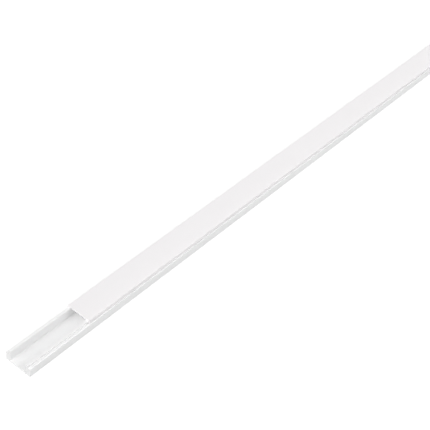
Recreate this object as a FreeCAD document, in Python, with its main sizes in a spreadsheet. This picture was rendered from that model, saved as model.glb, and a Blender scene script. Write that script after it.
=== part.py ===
# Small cable trunking, 20 x 10 mm: a U-shaped base channel whose solid walls
# step in to upright snap lips, and a flat cover whose toed-in skirts hook
# under the beads of the lips.
# The cover is drawn back from the near end, so the hollow channel shows there.
#
# Millimetres. X runs along the trunking from the near end, Z is up from the
# flat back, and the section is mirror-symmetric in Y.
import FreeCAD, Part
import Sketcher
import os

# Driving dimensions, each written once.
SIZES = {
    "stock_length": (2000.0, "length in which the trunking is sold"),
    "drawn_back": (50.0, "how far the cover is slid back from the near end"),
    "base_width": (20.0, "outer width of the base"),
    "closed_height": (10.0, "back of the base to top of the closed cover"),
    "wall": (3.4, "outer face of each side wall to its upright inner face"),
    "floor_thick": (1.1, "floor of the base"),
    "ledge_width": (1.8, "outer wall face to the foot of the lip"),
    "bead": (0.35, "how far the snap bead stands out of the lip"),
    "bead_rise": (0.7, "height of the bead's upright face with its round"),
    "bead_ramp": (0.5, "height of the slope under the bead"),
    "fit_gap": (0.1, "clearance between cover and base, all round"),
    "cover_height": (3.3, "top of the cover to the feet of its skirts"),
    "cover_plate": (0.9, "thickness of the cover's flat top"),
    "skirt": (0.6, "thickness of the cover's skirts"),
    "toe_in": (0.15, "how far each skirt leans in towards its foot"),
    "barb_rise": (0.45, "height of the barb at the foot of the skirt"),
    "cover_round": (0.5, "radius along the cover's top edges"),
    "ledge_round": (0.3, "radius along the outer edge of each ledge"),
    "lip_round": (0.25, "radius along both top edges of each lip"),
    "corner_round": (1.0, "radius where the floor meets the walls inside"),
}

doc = FreeCAD.newDocument("cable_trunking")
sheet = doc.addObject("Spreadsheet::Sheet", "Dimensions")
for row, (alias, (value, meaning)) in enumerate(SIZES.items(), start=1):
    sheet.set("A%d" % row, meaning)
    sheet.set("B%d" % row, str(value))
    sheet.setAlias("B%d" % row, alias)
doc.recompute()


class Length:
    """A length as the sheet's expression for it, with its present value."""

    def __init__(self, text, value):
        self.text = text
        self.value = value

    def __add__(self, other):
        return Length("%s + %s" % (self.text, other.text), self.value + other.value)

    def __sub__(self, other):
        return Length("%s - (%s)" % (self.text, other.text), self.value - other.value)

    def half(self):
        return Length("(%s) / 2" % self.text, self.value / 2)


def named(alias):
    return Length("Dimensions." + alias, SIZES[alias][0])


def origin_plane(body, role):
    for feature in body.Origin.OriginFeatures:
        if feature.Role == role:
            return feature
    raise RuntimeError("no plane " + role)


def bind(sketch, name, first, second, direction, length):
    """Holds point second at a length from point first, each a (line, end)."""
    constraint = Sketcher.Constraint(direction, *first, *second, length.value)
    index = sketch.addConstraint(constraint)
    sketch.renameConstraint(index, name)
    sketch.setExpression("Constraints." + name, length.text)


def mirrored_section(body, name, corners):
    """Closed section on the body's YZ plane, symmetric about its upright axis.

    corners are those of the +Y half in walking order, each as its lengths
    across and up from the origin; None stands for a corner on the base line.
    """
    sketch = body.newObject("Sketcher::SketchObject", name)
    sketch.AttachmentSupport = [(origin_plane(body, "YZ_Plane"), "")]
    sketch.MapMode = "FlatFace"
    walk = [(1, across, up) for across, up in corners]
    walk += [(-1, across, up) for across, up in reversed(corners)]
    points = []
    for side, across, up in walk:
        height = up.value if up else 0.0
        points.append(FreeCAD.Vector(side * across.value, height, 0))
    count = len(points)
    for i in range(count):
        sketch.addGeometry(Part.LineSegment(points[i], points[(i + 1) % count]), False)
    for i in range(count):
        sketch.addConstraint(Sketcher.Constraint("Coincident", i, 2, (i + 1) % count, 1))
    origin = (-1, 1)
    for i, (side, across, up) in enumerate(walk):
        corner = (i, 1)
        first, second = (origin, corner) if side > 0 else (corner, origin)
        bind(sketch, "across%d" % i, first, second, "DistanceX", across)
        if up:
            bind(sketch, "up%d" % i, origin, corner, "DistanceY", up)
        else:
            sketch.addConstraint(Sketcher.Constraint("PointOnObject", i, 1, -1))
    doc.recompute()
    return sketch


def extrude(body, sketch, name):
    pad = body.newObject("PartDesign::Pad", name)
    pad.Profile = sketch
    pad.setExpression("Length", named("stock_length").text)
    doc.recompute()
    return pad


def round_along(body, feature, name, corners, radius):
    """Rounds the edges that run along X through the corners, on both sides."""
    edges = []
    for number, edge in enumerate(feature.Shape.Edges, start=1):
        start, end = edge.Vertexes[0].Point, edge.Vertexes[-1].Point
        if abs(start.x - end.x) < 1.0:
            continue
        for across, up in corners:
            offset = (abs(start.y) - across.value, start.z - up.value)
            if max(abs(offset[0]), abs(offset[1])) < 0.001:
                edges.append("Edge%d" % number)
    if len(edges) != 2 * len(corners):
        raise RuntimeError("%s: %d edges found" % (name, len(edges)))
    fillet = body.newObject("PartDesign::Fillet", name)
    fillet.Base = (feature, edges)
    fillet.setExpression("Radius", named(radius).text)
    doc.recompute()
    return fillet


# Places that both pieces share: the lip and its bead, which the cover clasps.
side = named("base_width").half()
ledge = named("closed_height") - named("cover_height") - named("fit_gap")
lip_foot = side - named("ledge_width")
bead_crest = lip_foot + named("bead")
lip_top = named("closed_height") - named("cover_plate") - named("fit_gap")
bead_low = lip_top - named("bead_rise")

# Base channel: one extrusion. Outside, each wall steps in at the ledge to the
# lip with its snap bead. Inside, it is one upright face from floor to lip top.
wall_inside = side - named("wall")
floor_top = named("floor_thick")

base = doc.addObject("PartDesign::Body", "base_channel")
base.Label = "base_channel"
base_section = mirrored_section(base, "base_section", [
    (side, None),
    (side, ledge),
    (lip_foot, ledge),
    (lip_foot, bead_low - named("bead_ramp")),
    (bead_crest, bead_low),
    (bead_crest, lip_top),
    (wall_inside, lip_top),
    (wall_inside, floor_top),
])
step = extrude(base, base_section, "base_extrusion")
step = round_along(base, step, "ledge_edges", [(side, ledge)], "ledge_round")
lip_edges = [(bead_crest, lip_top), (wall_inside, lip_top)]
step = round_along(base, step, "lip_edges", lip_edges, "lip_round")
round_along(base, step, "floor_corners", [(wall_inside, floor_top)], "corner_round")

# Snap cover: one extrusion, a flat top with two skirts that lean in towards
# their feet, where a barb catches under the bead. It is drawn where it closes.
skirt_inside = bead_crest + named("fit_gap")
skirt_outside = skirt_inside + named("skirt")
cover_top = named("closed_height")
cover_low = cover_top - named("cover_height")
barb_top = cover_low + named("barb_rise")
barb_tip = lip_foot + named("fit_gap")

cover = doc.addObject("PartDesign::Body", "snap_cover")
cover.Label = "snap_cover"
cover_section = mirrored_section(cover, "cover_section", [
    (skirt_inside, lip_top + named("fit_gap")),
    (skirt_inside, bead_low),
    (skirt_inside - named("toe_in"), barb_top),
    (barb_tip, barb_top - named("barb_rise").half()),
    (barb_tip, cover_low),
    (skirt_outside - named("toe_in"), cover_low),
    (skirt_outside, cover_top),
])
step = extrude(cover, cover_section, "cover_extrusion")
round_along(cover, step, "cover_edges", [(skirt_outside, cover_top)], "cover_round")

# The two equal lengths lie shifted by the drawn-back distance, and the middle
# of both together is the origin.
overall = named("stock_length") + named("drawn_back")
base.setExpression("Placement.Base.x", "-(%s)" % overall.half().text)
cover_start = named("drawn_back") - overall.half()
cover.setExpression("Placement.Base.x", cover_start.text)
doc.recompute()

for item in doc.Objects:
    if "Invalid" in item.State or "Error" in item.State:
        raise RuntimeError("%s did not compute: %s" % (item.Name, item.State))
os.makedirs("parts", exist_ok=True)
for body in (base, cover):
    shape = body.Shape
    if shape.isNull() or not shape.isValid() or len(shape.Solids) != 1:
        raise RuntimeError(body.Label + " is not one valid solid")
    shape.exportStep("parts/" + body.Label + ".step")
    print(body.Label, "volume", round(shape.Volume, 1), "faces", len(shape.Faces))
    print(shape.BoundBox)
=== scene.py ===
"""White cable trunking, its cover drawn back from the near end, on a white studio floor.

Metres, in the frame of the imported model: X along the trunking, Y across it, Z up.
Both extrusions are drawn again with every edge rounded, in the solids' own places.
"""
import math

import bmesh
import bpy
from mathutils import Matrix, Vector


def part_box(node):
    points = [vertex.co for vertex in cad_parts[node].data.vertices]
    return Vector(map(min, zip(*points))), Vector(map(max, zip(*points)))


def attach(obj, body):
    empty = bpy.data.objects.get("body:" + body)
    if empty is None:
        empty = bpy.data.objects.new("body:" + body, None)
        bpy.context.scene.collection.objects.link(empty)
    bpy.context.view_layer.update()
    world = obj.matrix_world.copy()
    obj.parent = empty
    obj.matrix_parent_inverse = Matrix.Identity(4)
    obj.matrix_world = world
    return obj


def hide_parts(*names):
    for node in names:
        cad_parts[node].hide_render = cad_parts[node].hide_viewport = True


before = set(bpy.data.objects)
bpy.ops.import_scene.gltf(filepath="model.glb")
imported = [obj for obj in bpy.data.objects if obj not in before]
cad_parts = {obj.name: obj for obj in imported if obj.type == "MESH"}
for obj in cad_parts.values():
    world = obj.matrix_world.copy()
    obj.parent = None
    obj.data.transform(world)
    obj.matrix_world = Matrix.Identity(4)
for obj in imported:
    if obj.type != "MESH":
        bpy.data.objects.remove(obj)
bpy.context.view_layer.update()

MM = 0.001
PHOTO_PIXELS = 430

# Section sizes, in millimetres, as in the solids.
WALL = 3.4
FLOOR_THICK = 1.1
LEDGE_WIDTH = 1.8
BEAD = 0.35
BEAD_RISE = 0.7
BEAD_RAMP = 0.5
FIT_GAP = 0.1
COVER_HEIGHT = 3.3
SKIRT = 0.6
TOE_IN = 0.15
BARB_RISE = 0.45
COVER_ROUND = 0.5
LEDGE_ROUND = 0.3
LIP_ROUND = 0.25
CORNER_ROUND = 1.0
# Edges that the solids leave sharp get the small radius that every drawn plastic edge has.
SOFT_EDGE = 0.12
BARB_EDGE = 0.06
# Smaller than every radius above, so that the inset outline of a sawn end never crosses itself.
SAW_CHAMFER = 0.04

# How finely the sections and their length are divided.
ARC_STEP = math.radians(12)
STATION_GAP = 50 * MM
SHARP_EDGE = math.radians(30)

# Linear colours of the two plastics. The cover is a touch warmer.
BASE_COLOUR = (0.88, 0.88, 0.88)
COVER_COLOUR = (0.885, 0.868, 0.876)
# Lengths along X, Y and Z of the features in the plastic.
DIE_LINES = (250 * MM, 0.6 * MM, 0.6 * MM)
CLOUDS = (110 * MM, 14 * MM, 14 * MM)
SAW_SCORES = (1000 * MM, 4 * MM, 0.15 * MM)
SAW_SLANT = 0.5
BUMP_DEPTH = 0.03 * MM
# Which part of the noise, from 0 to 1, is spread over a wanted range.
NOISE_SPAN = (0.3, 0.7)
# A face counts as sawn, and takes the sawn ends' duller finish and painted shade, as its normal's share
# along X goes from the first value to the second.
SAWN_FACING = (0.75, 0.95)

# The lamps: name, where the light comes from, strength and breadth in degrees.
LAMPS = (
    ("key", (-0.73, 0.03, 0.68), 2.68, 48),
    ("front", (0.0, -0.93, 0.37), 1.58, 70),
    ("rear", (0.1, 0.97, 0.22), 0.33, 30),
)
SKY_LEVEL = 0.2
WHITE = (1.0, 1.0, 1.0, 1.0)
# The floor is a grey that bounces little light. Its glow, seen only by the camera, reflections
# and glass, makes it a white backdrop.
FLOOR_GREY = (0.5, 0.5, 0.5, 1.0)
FLOOR_GLOW = 0.6
FLOOR_REACH = 6.0
FLOOR_DROP = 0.02 * MM


def linked(obj):
    bpy.context.scene.collection.objects.link(obj)
    return obj


def aim_camera():
    """A long lens on the near end, at the photograph's angle."""
    azimuth = math.radians(57.76)
    elevation = math.radians(41.5)
    roll = math.radians(-10.05)
    distance = 625.7 * MM
    focal_pixels = 1063.9
    shift = Vector((108.95, 95.47, 0.0)) * MM
    near_corner = Vector(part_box("base_channel")[0])

    back = Vector((-math.sin(azimuth) * math.cos(elevation),
                   -math.cos(azimuth) * math.cos(elevation),
                   math.sin(elevation)))
    right = Vector((math.cos(azimuth), -math.sin(azimuth), 0.0))
    up = back.cross(right)
    level = Matrix((right, up, back)).transposed()
    turn = level @ Matrix.Rotation(-roll, 3, "Z")
    place = near_corner + turn @ (shift + Vector((0.0, 0.0, distance)))

    data = bpy.data.cameras.new("camera")
    data.sensor_width = 36.0
    data.lens = focal_pixels / PHOTO_PIXELS * data.sensor_width
    data.clip_start = 0.01
    data.clip_end = 20.0
    camera = linked(bpy.data.objects.new("camera", data))
    camera.matrix_world = Matrix.Translation(place) @ turn.to_4x4()
    bpy.context.scene.camera = camera


def rounded(corners):
    """The closed outline through (across, up, radius) corners, each turned into an arc."""
    outline = []
    for i, (across, up, radius) in enumerate(corners):
        corner = Vector((across, up))
        before = (Vector(corners[i - 1][:2]) - corner).normalized()
        after = (Vector(corners[(i + 1) % len(corners)][:2]) - corner).normalized()
        opening = before.angle(after)
        centre = corner + (before + after).normalized() * (radius / math.sin(opening / 2))
        start = corner + before * (radius / math.tan(opening / 2)) - centre
        sweep = math.pi - opening
        if before.cross(after) > 0:
            sweep = -sweep
        steps = max(2, round(abs(sweep) / ARC_STEP))
        for k in range(steps + 1):
            outline.append(centre + Matrix.Rotation(sweep * k / steps, 2) @ start)
    return outline


def mirrored(half):
    """Both halves of a section from the corners of the +Y half."""
    return half + [(-across, up, radius) for across, up, radius in reversed(half)]


def base_section():
    """The U of the base: solid walls that step in at a ledge to a lip with its snap bead."""
    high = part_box("base_channel")[1]
    side = high[1] / MM
    lip_top = high[2] / MM
    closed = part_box("snap_cover")[1][2] / MM
    ledge = closed - COVER_HEIGHT - FIT_GAP
    lip_foot = side - LEDGE_WIDTH
    crest = lip_foot + BEAD
    bead_low = lip_top - BEAD_RISE
    return mirrored([
        (side, 0.0, SOFT_EDGE),
        (side, ledge, LEDGE_ROUND),
        (lip_foot, ledge, SOFT_EDGE),
        (lip_foot, bead_low - BEAD_RAMP, SOFT_EDGE),
        (crest, bead_low, SOFT_EDGE),
        (crest, lip_top, LIP_ROUND),
        (side - WALL, lip_top, LIP_ROUND),
        (side - WALL, FLOOR_THICK, CORNER_ROUND),
    ])


def cover_section():
    """The flat cover with its toed-in skirts, each with a barb at its foot."""
    low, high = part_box("snap_cover")
    top = high[2] / MM
    foot = low[2] / MM
    outside = high[1] / MM
    inside = outside - SKIRT
    base_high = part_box("base_channel")[1]
    lip_top = base_high[2] / MM
    barb_top = foot + BARB_RISE
    barb_tip = base_high[1] / MM - LEDGE_WIDTH + FIT_GAP
    return mirrored([
        (inside, lip_top + FIT_GAP, SOFT_EDGE),
        (inside, lip_top - BEAD_RISE, SOFT_EDGE),
        (inside - TOE_IN, barb_top, BARB_EDGE),
        (barb_tip, barb_top - BARB_RISE / 2, BARB_EDGE),
        (barb_tip, foot, BARB_EDGE),
        (outside - TOE_IN, foot, SOFT_EDGE),
        (outside, top, COVER_ROUND),
    ])


def inset(outline, depth):
    """The outline moved inward by a small depth, point by point."""
    moved = []
    area = sum(a.cross(b) for a, b in zip(outline, outline[1:] + outline[:1]))
    inward = 1.0 if area > 0 else -1.0
    for i, point in enumerate(outline):
        along = (outline[(i + 1) % len(outline)] - outline[i - 1]).normalized()
        moved.append(point + inward * depth * Vector((-along.y, along.x)))
    return moved


def extrusion(name, section, node, body, material):
    """A section drawn along X over the node's length, with the sawn ends' edges broken."""
    outline = rounded(section)
    sawn = inset(outline, SAW_CHAMFER)
    low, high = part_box(node)
    chamfer = SAW_CHAMFER * MM
    spans = round((high[0] - low[0]) / STATION_GAP)
    first, last = low[0] + chamfer, high[0] - chamfer
    stations = [(low[0], sawn)]
    stations += [(first + (last - first) * k / spans, outline) for k in range(spans + 1)]
    stations += [(high[0], sawn)]

    mesh = bpy.data.meshes.new(name)
    form = bmesh.new()
    rings = [[form.verts.new((x, p.x * MM, p.y * MM)) for p in ring] for x, ring in stations]
    count = len(outline)
    for ring, following in zip(rings, rings[1:]):
        for i in range(count):
            j = (i + 1) % count
            form.faces.new((ring[i], ring[j], following[j], following[i]))
    form.faces.new(rings[0])
    form.faces.new(rings[-1])
    bmesh.ops.recalc_face_normals(form, faces=form.faces)
    form.to_mesh(mesh)
    form.free()
    mesh.shade_smooth()
    mesh.set_sharp_from_angle(angle=SHARP_EDGE)
    mesh.materials.append(material)
    piece = linked(bpy.data.objects.new(name, mesh))
    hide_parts(node)
    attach(piece, body)


def add_node(tree, kind, inputs=None, **settings):
    """A node whose inputs are other nodes' outputs or plain values."""
    node = tree.nodes.new(kind)
    for key, value in settings.items():
        setattr(node, key, value)
    for key, value in (inputs or {}).items():
        if isinstance(value, bpy.types.NodeSocket):
            tree.links.new(value, node.inputs[key])
        else:
            node.inputs[key].default_value = value
    return node


def grain(tree, coordinates, place, lengths, turn, detail):
    """Noise whose features have their own length along each axis, turned about X."""
    placed = add_node(tree, "ShaderNodeMapping", {
        "Vector": coordinates, "Location": place, "Rotation": (turn, 0.0, 0.0), "Scale": lengths,
    }, vector_type="TEXTURE")
    return add_node(tree, "ShaderNodeTexNoise", {
        "Vector": placed.outputs[0], "Scale": 1.0, "Detail": detail}).outputs["Fac"]


def ranged(tree, value, low, high, span=NOISE_SPAN):
    """The value's span, spread over the range from low to high."""
    return add_node(tree, "ShaderNodeMapRange", {
        "Value": value, "From Min": span[0], "From Max": span[1], "To Min": low, "To Max": high,
    }).outputs[0]


def blended(tree, share, first, second):
    """The first value, passing into the second as the share goes from 0 to 1."""
    return add_node(tree, "ShaderNodeMix", {0: share, 2: first, 3: second}).outputs[0]


def plastic(name, colour, place):
    """Satin white PVC with lines from the die along it, and dull, finely scored sawn ends painted
    darker, partly for the cut's own tone and partly as painted shade.
    """
    material = bpy.data.materials.new(name)
    material.use_nodes = True
    tree = material.node_tree
    shader = tree.nodes["Principled BSDF"]
    coordinates = add_node(tree, "ShaderNodeTexCoord")
    solid = coordinates.outputs["Object"]
    lines = grain(tree, solid, place, DIE_LINES, 0.0, 3.0)
    cloud = grain(tree, solid, place, CLOUDS, 0.0, 2.0)
    scores = grain(tree, solid, place, SAW_SCORES, SAW_SLANT, 2.0)

    normal = add_node(tree, "ShaderNodeSeparateXYZ", {0: coordinates.outputs["Normal"]})
    facing = add_node(tree, "ShaderNodeMath", {0: normal.outputs["X"]}, operation="ABSOLUTE")
    sawn = ranged(tree, facing.outputs[0], 0.0, 1.0, SAWN_FACING)

    # The tone varies a little at random over the surface. The faces along X, the sawn ends, are scaled
    # to 0.87–0.91 of the colour, partly for the scored cut's own tone and partly as painted shade that
    # holds back the lamps' light on them.
    tone_and_painted_end_shade = blended(tree, sawn, ranged(tree, cloud, 0.992, 1.004), ranged(tree, scores, 0.87, 0.91))
    tint = add_node(tree, "ShaderNodeVectorMath", {0: colour, "Scale": tone_and_painted_end_shade}, operation="SCALE")
    tree.links.new(tint.outputs[0], shader.inputs["Base Color"])
    satin = blended(tree, 0.4, ranged(tree, cloud, 0.36, 0.46), ranged(tree, lines, 0.32, 0.5))
    gloss = blended(tree, sawn, satin, ranged(tree, scores, 0.6, 0.75))
    tree.links.new(gloss, shader.inputs["Roughness"])
    height = blended(tree, sawn, lines, scores)
    bump = add_node(tree, "ShaderNodeBump", {"Height": height, "Strength": 1.0, "Distance": BUMP_DEPTH})
    tree.links.new(bump.outputs[0], shader.inputs["Normal"])
    return material


def backdrop_strength(tree, always, added):
    """A strength, with more where the camera, a reflection or glass looks at the backdrop."""
    rays = add_node(tree, "ShaderNodeLightPath")
    seen = rays.outputs["Is Camera Ray"]
    for kind in ("Is Glossy Ray", "Is Transmission Ray"):
        either = add_node(tree, "ShaderNodeMath", {0: seen, 1: rays.outputs[kind]}, operation="MAXIMUM")
        seen = either.outputs[0]
    total = add_node(tree, "ShaderNodeMath", {0: seen, 1: added, 2: always}, operation="MULTIPLY_ADD")
    return total.outputs[0]


def sky():
    """Even white light all round, seen as plain white."""
    world = bpy.data.worlds.new("studio")
    bpy.context.scene.world = world
    world.use_nodes = True
    tree = world.node_tree
    background = tree.nodes["Background"]
    background.inputs["Color"].default_value = WHITE
    strength = backdrop_strength(tree, SKY_LEVEL, 1.0 - SKY_LEVEL)
    tree.links.new(strength, background.inputs["Strength"])


def lamp(name, towards, strength, breadth):
    """A broad even light from one side, the same along the whole length."""
    data = bpy.data.lights.new(name, "SUN")
    data.energy = strength
    data.angle = math.radians(breadth)
    holder = linked(bpy.data.objects.new(name, data))
    holder.rotation_euler = Vector(towards).to_track_quat("Z", "Y").to_euler()


def floor():
    """A plain white floor just under the trunking, which keeps its shadow."""
    reach = FLOOR_REACH
    corners = [(-reach, -reach, 0), (reach, -reach, 0), (reach, reach, 0), (-reach, reach, 0)]
    mesh = bpy.data.meshes.new("floor")
    mesh.from_pydata(corners, [], [(0, 1, 2, 3)])
    ground = linked(bpy.data.objects.new("floor", mesh))
    ground.location.z = -FLOOR_DROP
    material = bpy.data.materials.new("floor")
    material.use_nodes = True
    tree = material.node_tree
    shader = tree.nodes["Principled BSDF"]
    shader.inputs["Base Color"].default_value = FLOOR_GREY
    shader.inputs["Roughness"].default_value = 0.9
    shader.inputs["Specular IOR Level"].default_value = 0.0
    shader.inputs["Emission Color"].default_value = WHITE
    tree.links.new(backdrop_strength(tree, 0.0, FLOOR_GLOW), shader.inputs["Emission Strength"])
    mesh.materials.append(material)


aim_camera()
base_white = plastic("base_white", BASE_COLOUR, (0.0, 0.0, 0.0))
cover_white = plastic("cover_white", COVER_COLOUR, (0.4, 0.07, 0.03))
extrusion("channel_profile", base_section(), "base_channel", "channel", base_white)
extrusion("cover_profile", cover_section(), "snap_cover", "cover", cover_white)
sky()
for setting in LAMPS:
    lamp(*setting)
floor()
bpy.context.scene.view_settings.view_transform = "Standard"
